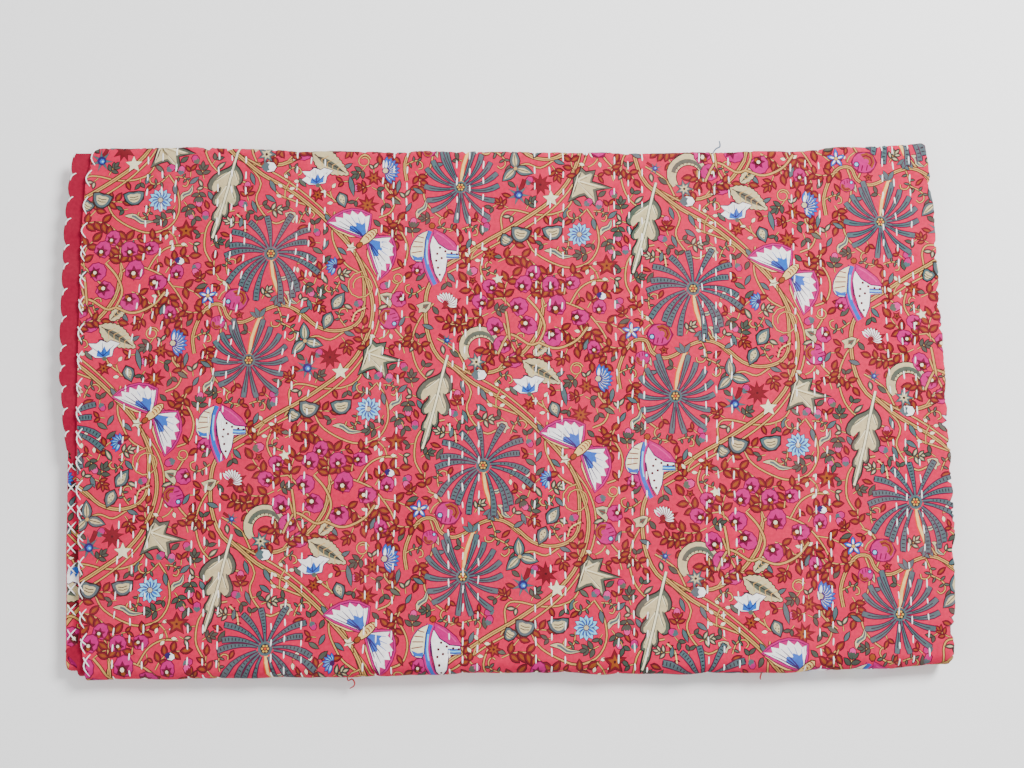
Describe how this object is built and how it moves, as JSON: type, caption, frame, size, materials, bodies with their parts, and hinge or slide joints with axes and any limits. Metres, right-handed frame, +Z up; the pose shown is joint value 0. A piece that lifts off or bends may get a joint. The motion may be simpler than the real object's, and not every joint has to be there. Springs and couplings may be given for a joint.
{
  "type": "kantha quilt",
  "caption": "Folded kantha quilt: printed cotton face, plain red reverse, running-stitched through, with a scalloped hem showing at one end. Lies flat as a folded pack.",
  "frame": {"origin": "middle of the underside of the folded pack, on the surface that it lies on", "axes": "+X towards the end where the strip is folded, -X the end with the short hems, -Y the front with the wide wrap, +Y the back with the long hems, +Z up"},
  "size_m": [0.657, 0.3966, 0.0207],
  "materials": {
    "printed_cotton": "matt plain-weave cotton, coral red ground with an all-over floral print",
    "plain_reverse": "matt plain-weave cotton, deep red",
    "stitch_thread": "soft off-white cotton thread"
  },
  "bodies": {
    "root": {"kantha_quilt": "printed_cotton"}
  },
  "joints": []
}
